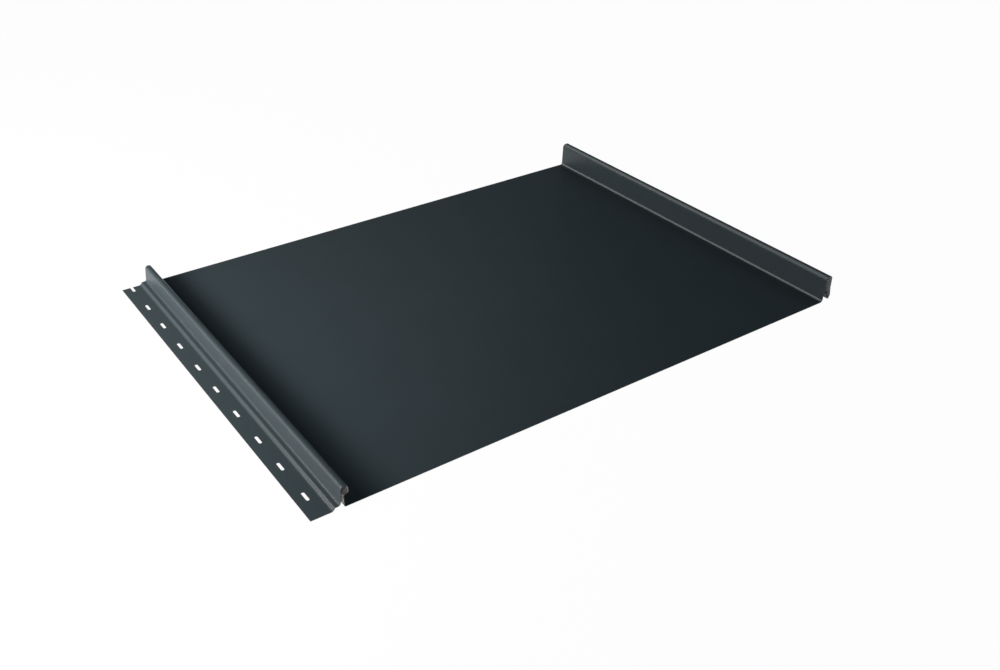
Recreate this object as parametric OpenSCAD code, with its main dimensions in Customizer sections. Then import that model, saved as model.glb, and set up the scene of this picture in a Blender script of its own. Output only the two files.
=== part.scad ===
// Click-lock standing seam roof panel, rolled from one sheet of painted steel.
// X runs across the panel from the nail flange to the female rib, Y along its ribs, Z up.
// The origin is the middle of the panel's footprint, level with the underside of its pan.
// Corners are where the flat stretches would meet: each bend then rounds its own corner.

/* [Sheet] */
// Thickness of the sheet
sheet_t = 0.5; // [0.4:0.05:0.7]
// Length of the panel along its ribs
panel_l = 396; // [100:1:2000]
// Width of roof that one panel covers, from one seam to the next
cover_w = 505; // [250:1:650]
// Radius of the tight bends, to the middle of the sheet
bend_r = 1.2; // [0.8:0.1:1.4]
// Radius of the wide bends at the foot of the step and of the ribs' walls beside the flats
foot_r = 2.3; // [0.8:0.1:2.5]

/* [Nail flange] */
// Flat width of the flange, from its outer edge to the step
flange_w = 17.4; // [14:0.1:40]
// Height of the step that keeps the neighbour's pan clear of the screw heads
step_h = 2.6; // [1.6:0.1:4]
// Width of the slope that climbs the step
step_run = 2.1; // [1:0.1:4]
// Width of the shelf between the step and the male rib
shelf_w = 4.2; // [3:0.1:8]

/* [Nail slots] */
// Length of one slot, end to end
slot_l = 10.6; // [6:0.1:20]
// Width of one slot
slot_w = 2.6; // [2:0.1:6]
// Distance from the flange's outer edge to the slots' centre line
slot_inset = 8.8; // [5:0.1:10]
// Distance between the centres of the three slots that the punch cuts at one stroke
slot_pitch = 41.3; // [25:0.1:100]
// Length of sheet that passes the punch from one stroke to the next
stroke_feed = 122.1; // [100:0.1:400]
// Distance from the near end of the panel to the middle slot of the first stroke
stroke_first = 25.9; // [12:0.1:60]

/* [Male rib] */
// Overall height of the male rib
male_h = 18.7; // [16.5:0.1:24]
// Distance between the rib's two legs at the foot
leg_gap = 3.2; // [2.8:0.1:4.5]
// How far the outer leg leans over the pan by its top
male_lean = 1.7; // [0.5:0.1:2]
// Width of the rib's head, outside
head_w = 6; // [5.8:0.1:8]
// Radius that rounds each side of the head's top, to the middle of the sheet
head_r = 2.7; // [1.2:0.1:2.7]
// Height of the neck under the head
neck_h = 10.5; // [8.5:0.1:12]
// Slope of the head's underside, in degrees, which the neighbour's lip catches
catch_tilt = 22; // [10:1:30]

/* [Female rib] */
// Overall height of the female rib
female_h = 25.2; // [21:0.1:32]
// How far its wall leans away from the pan by its top
female_lean = 1.5; // [0.5:0.1:2]
// Radius of the rib's top beside the wall, to the middle of the sheet
crown_in_r = 3.2; // [1:0.1:5]
// Radius of the rib's top beside the outer leg, to the middle of the sheet
crown_out_r = 1.8; // [1:0.1:4]
// Height of the outer leg's knee
knee_h = 4.6; // [4:0.1:6]
// How far the knee stands out from the leg above it
knee_out = 1; // [0.4:0.1:1.6]
// Height of the stretch of leg that flares out to the knee
flare_h = 8.4; // [5:0.1:10]
// How far the toe's corner lies inside the knee
toe_in = 2.5; // [1.8:0.1:3]
// How far the toe's corner lies below the knee
toe_drop = 4.2; // [3:0.1:4.5]
// Radius of the toe's fold, to the middle of the sheet
toe_r = 0.8; // [0.5:0.1:1]

/* [Seam] */
// Clearance between two joined panels
click_gap = 0.2; // [0.1:0.05:0.5]
// Clearance between the lip's tip and the neck beside it
lip_gap = 0.85; // [0.3:0.05:1.2]

/* [Hidden] */

// Each facet of a bend turns the sheet by at most this angle
facet_angle = 10;
slot_fn = 48;
cut_over = 1;

mid_z = sheet_t / 2;
shelf_z = mid_z + step_h;

// Male rib: X is counted from the leg on the pan's side
foot_x = -leg_gap;
shoulder_x = foot_x + male_lean;
head_x = shoulder_x + head_w - sheet_t;
step_top_x = foot_x - shelf_w;
step_foot_x = step_top_x - step_run;
flange_x = step_foot_x - flange_w;
head_z = male_h - mid_z;
catch_z = neck_h + head_x * tan(catch_tilt);

// Female rib: its wall clears the neighbour's outer leg, its leg the neighbour's head
wall_x = cover_w + foot_x - sheet_t - click_gap;
crown_in_x = wall_x + female_lean;
leg_x = cover_w + head_x + sheet_t + click_gap;
crown_z = female_h - mid_z;
knee_x = leg_x + knee_out;

// The lip's tip stands beside the neighbour's neck and just under its head
tip_reach = sheet_t + lip_gap;
neighbour_z = step_h + sheet_t;
tip_z = neck_h + tip_reach * tan(catch_tilt) - sheet_t - neighbour_z - click_gap;

// Corners of the sheet's middle line: X, Z and the radius of the bend
section = [
    [flange_x, mid_z, 0],
    [step_foot_x, mid_z, foot_r],
    [step_top_x, shelf_z, bend_r],
    [foot_x, shelf_z, foot_r],
    [shoulder_x, head_z, head_r],
    [head_x, head_z, head_r],
    [head_x, catch_z, bend_r],
    [0, neck_h, bend_r],
    [0, mid_z, bend_r],
    [wall_x, mid_z, foot_r],
    [crown_in_x, crown_z, crown_in_r],
    [leg_x, crown_z, crown_out_r],
    [leg_x, knee_h + flare_h, bend_r],
    [knee_x, knee_h, bend_r],
    [knee_x - toe_in, knee_h - toe_drop, toe_r],
    [cover_w + tip_reach, tip_z, 0],
];
last = len(section) - 1;

outline = concat(side(mid_z), reversed(side(-mid_z)));
outline_x = [for (p = outline) p.x];
middle_x = (min(outline_x) + max(outline_x)) / 2;

// Centres of the slots along the flange: those that an end of the panel cuts open are among them
last_stroke = panel_l + slot_pitch + slot_l / 2;
slots_y = [
    for (stroke = [stroke_first:stroke_feed:last_stroke], k = [-1:1])
        let (y = stroke + k * slot_pitch)
            if (y > -slot_l / 2 && y < panel_l + slot_l / 2) y
];

function reversed(list) = [for (i = [len(list) - 1:-1:0]) list[i]];
function corner(i) = [section[i].x, section[i].y];
function heading(i) = let (d = corner(i + 1) - corner(i)) atan2(d.y, d.x);
function left_of(angle) = [-sin(angle), cos(angle)];

// Signed angle by which the sheet turns at corner i, left turns being positive
function turn(i) = let (a = heading(i) - heading(i - 1)) a > 180 ? a - 360 : a < -180 ? a + 360 : a;

// Points of the bend at corner i, on the line that runs s to the left of the middle line
function bend(i, s) =
    let (
        r = section[i].z,
        start = heading(i - 1),
        swing = turn(i),
        side_r = sign(swing) * r,
        setback = r * tan(abs(swing) / 2),
        along = [cos(start), sin(start)],
        centre = corner(i) - setback * along + side_r * left_of(start),
        facets = ceil(abs(swing) / facet_angle)
    )
    [for (k = [0:facets]) centre + (s - side_r) * left_of(start + swing * k / facets)];

// One face of the sheet, s to the left of its middle line, from the flange's edge to the lip
function side(s) = concat(
    [corner(0) + s * left_of(heading(0))],
    [for (i = [1:last - 1]) each bend(i, s)],
    [corner(last) + s * left_of(heading(last - 1))]
);

// One oblong hole, centred, with its length along Y
module slot() {
    end_y = (slot_l - slot_w) / 2;
    cut_h = sheet_t + 2 * cut_over;
    for (y = [-end_y, end_y])
        translate([0, y, 0])
            cylinder(h = cut_h, d = slot_w, center = true, $fn = slot_fn);
    cube([slot_w, 2 * end_y, cut_h], center = true);
}

module roof_panel() {
    color("#2f373b")
        translate([-middle_x, -panel_l / 2, 0])
            difference() {
                translate([0, panel_l, 0])
                    rotate([90, 0, 0])
                        linear_extrude(height = panel_l)
                            polygon(outline);
                for (y = slots_y)
                    translate([flange_x + slot_inset, y, mid_z])
                        slot();
            }
}

roof_panel();
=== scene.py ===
"""Looks of the standing seam roof panel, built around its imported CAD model. Lengths are in metres."""
import math

import bmesh
import bpy
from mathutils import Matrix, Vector


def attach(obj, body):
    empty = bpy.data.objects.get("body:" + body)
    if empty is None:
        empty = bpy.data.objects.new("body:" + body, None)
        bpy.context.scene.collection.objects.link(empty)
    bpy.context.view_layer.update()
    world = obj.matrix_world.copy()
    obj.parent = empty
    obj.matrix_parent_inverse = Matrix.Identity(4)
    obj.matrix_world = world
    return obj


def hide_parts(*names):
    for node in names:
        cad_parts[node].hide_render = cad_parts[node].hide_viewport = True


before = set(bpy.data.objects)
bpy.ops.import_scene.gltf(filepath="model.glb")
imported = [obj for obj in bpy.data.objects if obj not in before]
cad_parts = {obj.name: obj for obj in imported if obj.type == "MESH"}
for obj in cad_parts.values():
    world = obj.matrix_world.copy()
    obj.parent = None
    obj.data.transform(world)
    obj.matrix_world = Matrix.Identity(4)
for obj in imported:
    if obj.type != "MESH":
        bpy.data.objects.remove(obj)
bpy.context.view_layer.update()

NODE = "roof_panel"

# Camera, as fitted to the photograph: yaw is clockwise from +Y and pitch down from level. The lens
# and the sensor are in millimetres
CAMERA_AT = (-0.48598, -0.73806, 0.50775)
CAMERA_YAW = math.radians(34.993)
CAMERA_PITCH = math.radians(32.021)
CAMERA_LENS = 38.80
CAMERA_SENSOR = 36.0
CAMERA_CLIP_START = 0.01

# Sheet: faces that meet at more than the sharp angle belong to different sides of it
WELD = 1e-6
FLAT_ANGLE = math.radians(0.5)
SHARP_ANGLE = math.radians(45)
BURR_ROUND = 0.00006
BURR_SEGMENTS = 2

# Places of the three materials on the sheet
WEATHER = 0
BACK = 1
CUT = 2

# Colours, linear
COAT_COLOUR = (0.0245, 0.0358, 0.0412)
# Painted highlight: a lighter coat colour put on the tall rib's bends in place of lit highlight lines
PAINTED_HIGHLIGHT_COLOUR = (0.132, 0.154, 0.160)
BACK_COLOUR = (0.60, 0.58, 0.57)
CUT_COLOUR = (0.050, 0.054, 0.056)

# Gloss of the three materials
COAT_SPECULAR = 0.35
BACK_IOR = 1.5
CUT_SPECULAR = 0.3

# Noises: scale in waves per metre, detail and roughness
COAT_CLOUD = (22, 2, 0.5)
COAT_GRAIN = (1400, 3, 0.6)
COAT_PEEL = (420, 2, 0.5)
BACK_CLOUD = (60, 3, 0.5)
BACK_GRAIN = (900, 3, 0.6)
CUT_STREAK = (2500, 3, 0.7)

# Most values of a noise lie between these two, which spread maps to the ranges below
NOISE_LOW = 0.3
NOISE_HIGH = 0.7

# Ranges over which the noises vary a colour's brightness and the surface's roughness
COAT_SHADE = (0.97, 1.03)
COAT_ROUGHNESS = (0.37, 0.43)
# The painted highlight's brightness varies over this range
PAINTED_HIGHLIGHT_SHADE = (0.85, 1.15)
BACK_SHADE = (0.94, 1.06)
BACK_ROUGHNESS = (0.5, 0.62)
CUT_SHADE = (0.75, 1.2)
CUT_ROUGHNESS = (0.5, 0.7)

# Depths of the bumps
COAT_GRAIN_DEPTH = 0.000002
COAT_PEEL_DEPTH = 0.000006
BACK_GRAIN_DEPTH = 0.000004

# Beyond FROM_X a highlight is painted into the coat's colour as a lighter line on the two bends beside
# the female rib's wall, round a slope of each that is counted from level towards the pan. The crown's bend
# is above CROWN_FROM_Z
HIGHLIGHT_FROM_X = 0.2
HIGHLIGHT_CROWN_FROM_Z = 0.012
HIGHLIGHT_FOOT_SLOPE = math.radians(52)
HIGHLIGHT_CROWN_SLOPE = math.radians(30)
HIGHLIGHT_FULL_WITHIN = math.radians(18)
HIGHLIGHT_NONE_BEYOND = math.radians(34)

# Softboxes, with their power in watts: two at the left, a weak one at the right, and a dim card
# behind, which the pan mirrors
WARM = (1.12, 1.0, 0.93)
NEUTRAL = (1.0, 1.0, 1.0)
COOL = (0.8, 1.0, 1.15)
SOFTBOXES = [
    dict(
        name="key",
        place=(-0.8736, 0.0215, 0.312),
        target=(-0.8925, 0.1691, -0.023),
        width=0.470,
        height=0.596,
        power=30.4,
        colour=WARM,
    ),
    dict(
        name="fill",
        place=(-0.848, 0.0, 0.530),
        target=(0.0, 0.0, 0.0),
        width=0.420,
        height=0.420,
        power=4.7,
        colour=NEUTRAL,
    ),
    dict(
        name="right_fill",
        place=(2.0, -0.5, 1.8),
        target=(0.0, 0.0, 0.0),
        width=1.5,
        height=1.5,
        power=8.5,
        colour=COOL,
    ),
    dict(
        name="card",
        place=(0.80, 1.48, 1.20),
        target=(-0.04, 0.0, 0.0),
        width=0.6,
        height=0.6,
        power=0.30,
        colour=COOL,
    ),
]

# Floor, which reaches out to the horizon a hair below the panel. The white share is how much of
# what the camera and the reflections see of it is plain white
FLOOR_HALF = 40.0
FLOOR_GAP = 0.0002
FLOOR_COLOUR = (0.80, 0.80, 0.80)
FLOOR_WHITE_SHARE = 0.975

# Room light by direction, as a unit vector. The white band is full below TOP in Z and gone above
# FADE, and from LEFT to RIGHT in X it weakens to its share at the right
ROOM_WHITE = (1.0, 1.0, 1.0)
ROOM_BAND_TOP = math.sin(math.radians(4))
ROOM_BAND_FADE = math.sin(math.radians(10))
ROOM_HIGH = 0.055
ROOM_HIGH_TINT = (0.75, 1.0, 1.15)
ROOM_BAND_LEFT = -0.3
ROOM_BAND_RIGHT = 0.1
ROOM_BAND_AT_RIGHT = 0.5


def smooth_side(seed, faces_left):
    """Takes the faces that join seed over soft edges out of faces_left and returns them with it."""
    side = {seed}
    frontier = [seed]
    faces_left.discard(seed)
    while frontier:
        for edge in frontier.pop().edges:
            if not edge.smooth:
                continue
            for face in edge.link_faces:
                if face in faces_left:
                    faces_left.discard(face)
                    side.add(face)
                    frontier.append(face)
    return side


def area_of(faces):
    return sum(face.calc_area() for face in faces)


def upward_area(faces):
    """Sum of the faces' areas, each times how far it looks up: 1 for up, 0 sideways, -1 for down."""
    return sum(face.normal.z * face.calc_area() for face in faces)


def mark_sides(bm):
    """Gives each face the material of its side of the sheet.

    The two largest sides are the weather side and the back, and all others are cut edges.
    """
    for edge in bm.edges:
        edge.smooth = len(edge.link_faces) == 2 and edge.calc_face_angle(math.pi) < SHARP_ANGLE
    faces_left = set(bm.faces)
    sides = []
    while faces_left:
        sides.append(smooth_side(next(iter(faces_left)), faces_left))
    sides.sort(key=area_of, reverse=True)
    weather, back = sorted(sides[:2], key=upward_area, reverse=True)
    for face in bm.faces:
        face.smooth = True
        face.material_index = WEATHER if face in weather else BACK if face in back else CUT


def coated_sheet(node, materials):
    """The rolled sheet: the CAD solid's own shape, with its cut edges rounded by a hair.

    Corners that coincide are welded and flat triangles merged, so that only real edges are rounded.
    """
    mesh = node.data.copy()
    mesh.name = "coated_sheet"
    mesh.materials.clear()
    for material in materials:
        mesh.materials.append(material)
    bm = bmesh.new()
    bm.from_mesh(mesh)
    bmesh.ops.remove_doubles(bm, verts=bm.verts, dist=WELD)
    bmesh.ops.dissolve_limit(bm, angle_limit=FLAT_ANGLE, verts=bm.verts, edges=bm.edges)
    mark_sides(bm)
    bm.to_mesh(mesh)
    bm.free()
    sheet = bpy.data.objects.new("coated_sheet", mesh)
    bpy.context.scene.collection.objects.link(sheet)

    burr = sheet.modifiers.new("burr", "BEVEL")
    burr.width = BURR_ROUND
    burr.segments = BURR_SEGMENTS
    burr.limit_method = "ANGLE"
    burr.angle_limit = SHARP_ANGLE
    burr.use_clamp_overlap = True
    normals = sheet.modifiers.new("normals", "WEIGHTED_NORMAL")
    normals.keep_sharp = False
    return sheet


def new_material(name):
    """A node material, its node tree and its shader."""
    material = bpy.data.materials.new(name)
    material.use_nodes = True
    return material, material.node_tree, material.node_tree.nodes["Principled BSDF"]


def noise(tree, scale, detail, roughness):
    """Value of a noise texture in the panel's own coordinates."""
    place = tree.nodes.new("ShaderNodeTexCoord")
    texture = tree.nodes.new("ShaderNodeTexNoise")
    texture.inputs["Scale"].default_value = scale
    texture.inputs["Detail"].default_value = detail
    texture.inputs["Roughness"].default_value = roughness
    tree.links.new(place.outputs["Object"], texture.inputs["Vector"])
    return texture.outputs["Fac"]


def mapped(tree, value, start, end, low, high, interpolation="LINEAR"):
    """Goes from low to high while the value goes from start to end, and no further."""
    remap = tree.nodes.new("ShaderNodeMapRange")
    remap.interpolation_type = interpolation
    remap.inputs["From Min"].default_value = start
    remap.inputs["From Max"].default_value = end
    remap.inputs["To Min"].default_value = low
    remap.inputs["To Max"].default_value = high
    tree.links.new(value, remap.inputs["Value"])
    return remap.outputs["Result"]


def spread(tree, value, low, high):
    """Maps a noise's usual values to the range from low to high."""
    return mapped(tree, value, NOISE_LOW, NOISE_HIGH, low, high)


def tinted(tree, colour, amount):
    """The colour times a grey value."""
    mix = tree.nodes.new("ShaderNodeVectorMath")
    mix.operation = "SCALE"
    mix.inputs[0].default_value = colour
    tree.links.new(amount, mix.inputs["Scale"])
    return mix.outputs["Vector"]


def colour_mix(tree, share):
    """A node that goes from its colour A to its colour B as the share goes from 0 to 1."""
    mix = tree.nodes.new("ShaderNodeMix")
    mix.data_type = "RGBA"
    tree.links.new(share, mix.inputs["Factor"])
    return mix


def bumped(tree, height, depth, below=None):
    """A bump of that depth, on top of the one below it."""
    bump = tree.nodes.new("ShaderNodeBump")
    bump.inputs["Distance"].default_value = depth
    tree.links.new(height, bump.inputs["Height"])
    if below is not None:
        tree.links.new(below, bump.inputs["Normal"])
    return bump.outputs["Normal"]


def math_node(tree, operation, first, second=0):
    """Result of an operation on two values, each a number or another node's output."""
    node = tree.nodes.new("ShaderNodeMath")
    node.operation = operation
    for socket, value in zip(node.inputs, (first, second)):
        if isinstance(value, (int, float)):
            socket.default_value = value
        else:
            tree.links.new(value, socket)
    return node.outputs["Value"]


def split_axes(tree, kind):
    """X, Y and Z outputs of a texture coordinate, which for the room's light is a direction."""
    place = tree.nodes.new("ShaderNodeTexCoord")
    split = tree.nodes.new("ShaderNodeSeparateXYZ")
    tree.links.new(place.outputs[kind], split.inputs["Vector"])
    return split.outputs


def painted_highlight_share(tree):
    """Share of the painted highlight: 1 along the middle of the female rib's bends beside its wall, fading
    to 0 on its flats.
    """
    normal = split_axes(tree, "Normal")
    point = split_axes(tree, "Object")
    slope = math_node(tree, "ARCTAN2", math_node(tree, "MULTIPLY", normal["X"], -1), normal["Z"])
    at_crown = math_node(tree, "GREATER_THAN", point["Z"], HIGHLIGHT_CROWN_FROM_Z)
    shift = math_node(tree, "MULTIPLY", at_crown, HIGHLIGHT_CROWN_SLOPE - HIGHLIGHT_FOOT_SLOPE)
    middle = math_node(tree, "ADD", shift, HIGHLIGHT_FOOT_SLOPE)
    apart = math_node(tree, "ABSOLUTE", math_node(tree, "SUBTRACT", slope, middle))
    share = mapped(tree, apart, HIGHLIGHT_FULL_WITHIN, HIGHLIGHT_NONE_BEYOND, 1, 0, "SMOOTHSTEP")
    at_rib = math_node(tree, "GREATER_THAN", point["X"], HIGHLIGHT_FROM_X)
    return math_node(tree, "MULTIPLY", share, at_rib)


def weather_coat():
    """Dark satin polyester coat with a fine orange peel, and a painted highlight as a lighter line on the
    tall rib's bends.
    """
    material, tree, shader = new_material("weather_coat")
    shader.inputs["Specular IOR Level"].default_value = COAT_SPECULAR
    cloud = noise(tree, *COAT_CLOUD)
    grain = noise(tree, *COAT_GRAIN)
    peel = noise(tree, *COAT_PEEL)
    # Painted highlight: the coat's colour turns lighter along the tall rib's bends
    highlight_mix = colour_mix(tree, painted_highlight_share(tree))
    tree.links.new(tinted(tree, COAT_COLOUR, spread(tree, cloud, *COAT_SHADE)), highlight_mix.inputs["A"])
    tree.links.new(tinted(tree, PAINTED_HIGHLIGHT_COLOUR, spread(tree, grain, *PAINTED_HIGHLIGHT_SHADE)), highlight_mix.inputs["B"])
    tree.links.new(highlight_mix.outputs["Result"], shader.inputs["Base Color"])
    tree.links.new(spread(tree, grain, *COAT_ROUGHNESS), shader.inputs["Roughness"])
    orange_peel = bumped(tree, peel, COAT_PEEL_DEPTH)
    tree.links.new(bumped(tree, grain, COAT_GRAIN_DEPTH, orange_peel), shader.inputs["Normal"])
    return material


def back_coat():
    """Thin matt backing coat, light and a little warm, faintly mottled."""
    material, tree, shader = new_material("back_coat")
    shader.inputs["IOR"].default_value = BACK_IOR
    cloud = noise(tree, *BACK_CLOUD)
    grain = noise(tree, *BACK_GRAIN)
    tree.links.new(tinted(tree, BACK_COLOUR, spread(tree, cloud, *BACK_SHADE)), shader.inputs["Base Color"])
    tree.links.new(spread(tree, grain, *BACK_ROUGHNESS), shader.inputs["Roughness"])
    tree.links.new(bumped(tree, grain, BACK_GRAIN_DEPTH), shader.inputs["Normal"])
    return material


def cut_edge():
    """Sheared edge, dark with the coats that the blade drew over it, dull and a little streaked."""
    material, tree, shader = new_material("cut_edge")
    shader.inputs["Specular IOR Level"].default_value = CUT_SPECULAR
    streak = noise(tree, *CUT_STREAK)
    tree.links.new(tinted(tree, CUT_COLOUR, spread(tree, streak, *CUT_SHADE)), shader.inputs["Base Color"])
    tree.links.new(spread(tree, streak, *CUT_ROUGHNESS), shader.inputs["Roughness"])
    return material


def seen_directly(tree):
    """1 on rays that the camera, a reflection or a pane of glass looks along, else 0."""
    path = tree.nodes.new("ShaderNodeLightPath")
    glossy = math_node(tree, "MAXIMUM", path.outputs["Is Camera Ray"], path.outputs["Is Glossy Ray"])
    return math_node(tree, "MAXIMUM", glossy, path.outputs["Is Transmission Ray"])


def floor_material():
    """Pale floor that looks white, but keeps part of its real shading, and so the panel's shadow."""
    material, tree, shader = new_material("floor")
    shader.inputs["Base Color"].default_value = (*FLOOR_COLOUR, 1)
    shader.inputs["Roughness"].default_value = 1.0
    shader.inputs["Specular IOR Level"].default_value = 0.0
    white = tree.nodes.new("ShaderNodeEmission")
    share = math_node(tree, "MULTIPLY", seen_directly(tree), FLOOR_WHITE_SHARE)
    mix = tree.nodes.new("ShaderNodeMixShader")
    tree.links.new(share, mix.inputs["Fac"])
    tree.links.new(shader.outputs["BSDF"], mix.inputs[1])
    tree.links.new(white.outputs["Emission"], mix.inputs[2])
    tree.links.new(mix.outputs["Shader"], tree.nodes["Material Output"].inputs["Surface"])
    return material


def floor():
    """A square floor under the panel."""
    mesh = bpy.data.meshes.new("floor")
    signs = ((-1, -1), (1, -1), (1, 1), (-1, 1))
    corners = [(x * FLOOR_HALF, y * FLOOR_HALF, -FLOOR_GAP) for x, y in signs]
    mesh.from_pydata(corners, [], [(0, 1, 2, 3)])
    mesh.materials.append(floor_material())
    plane = bpy.data.objects.new("floor", mesh)
    bpy.context.scene.collection.objects.link(plane)


def room():
    """Room light: a white band at the horizon, weaker at the right, and dim and cool above it."""
    world = bpy.data.worlds.new("room")
    bpy.context.scene.world = world
    world.use_nodes = True
    tree = world.node_tree
    towards = split_axes(tree, "Generated")
    low = mapped(tree, towards["Z"], ROOM_BAND_TOP, ROOM_BAND_FADE, 1, 0, "SMOOTHSTEP")
    left = mapped(
        tree, towards["X"], ROOM_BAND_LEFT, ROOM_BAND_RIGHT, 1, ROOM_BAND_AT_RIGHT, "SMOOTHSTEP"
    )
    light = colour_mix(tree, math_node(tree, "MULTIPLY", low, left))
    light.inputs["A"].default_value = (*(ROOM_HIGH * share for share in ROOM_HIGH_TINT), 1)
    light.inputs["B"].default_value = (*ROOM_WHITE, 1)
    tree.links.new(light.outputs["Result"], tree.nodes["Background"].inputs["Color"])


def aim(lamp, target):
    """Turns a lamp to shine at the target."""
    lamp.rotation_euler = (Vector(target) - lamp.location).to_track_quat("-Z", "Y").to_euler()


def softbox(name, place, target, width, height, power, colour):
    """A rectangular lamp that only the camera doesn't see."""
    light = bpy.data.lights.new(name, "AREA")
    light.shape = "RECTANGLE"
    light.size = width
    light.size_y = height
    light.energy = power
    light.color = colour
    box = bpy.data.objects.new(name, light)
    box.location = place
    box.visible_camera = False
    bpy.context.scene.collection.objects.link(box)
    aim(box, target)


def camera():
    data = bpy.data.cameras.new("camera")
    data.sensor_width = CAMERA_SENSOR
    data.lens = CAMERA_LENS
    data.clip_start = CAMERA_CLIP_START
    view = bpy.data.objects.new("camera", data)
    view.location = CAMERA_AT
    view.rotation_euler = (math.pi / 2 - CAMERA_PITCH, 0, -CAMERA_YAW)
    bpy.context.scene.collection.objects.link(view)
    bpy.context.scene.camera = view


bpy.context.scene.view_settings.view_transform = "Standard"
camera()
sheet = coated_sheet(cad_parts[NODE], [weather_coat(), back_coat(), cut_edge()])
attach(sheet, "root")
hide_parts(NODE)
floor()
room()
for box in SOFTBOXES:
    softbox(**box)
